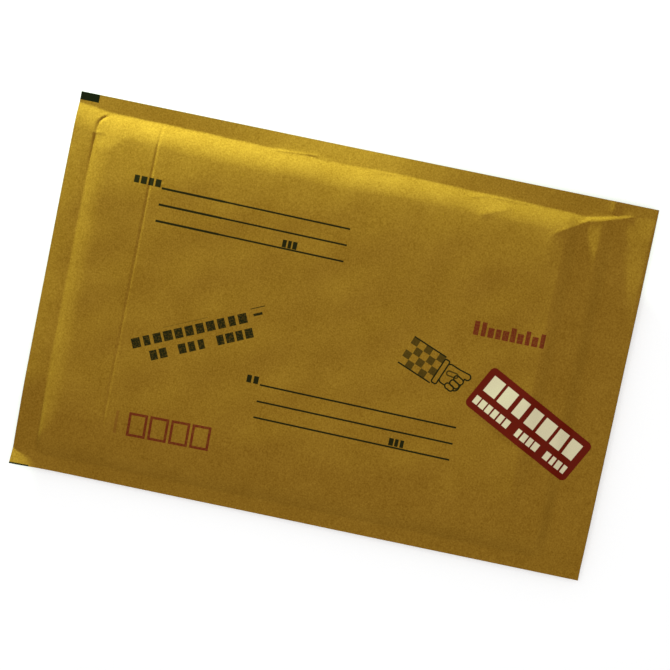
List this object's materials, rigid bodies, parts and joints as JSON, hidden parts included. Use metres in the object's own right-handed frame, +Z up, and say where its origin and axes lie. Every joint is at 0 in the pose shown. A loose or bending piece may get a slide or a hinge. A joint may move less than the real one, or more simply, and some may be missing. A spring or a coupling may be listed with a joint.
{
  "type": "bubble mailer",
  "caption": "Golden-brown kraft envelope padded with bubble film, open at one end, with ruled address lines and a red label.",
  "frame": {"origin": "centre of the footprint, on the surface that the mailer lies on", "axes": "+Z up through the printed front panel; +X along the long side, from the open mouth to the folded end; +Y across, towards the wider side seal"},
  "size_m": [0.333, 0.216, 0.0155],
  "materials": {
    "kraft": "matte",
    "bubble_film": "gloss",
    "label": "satin"
  },
  "bodies": {
    "root": {"kraft_envelope": "kraft", "bubble_lining": "bubble_film", "red_label": "label"}
  },
  "joints": []
}
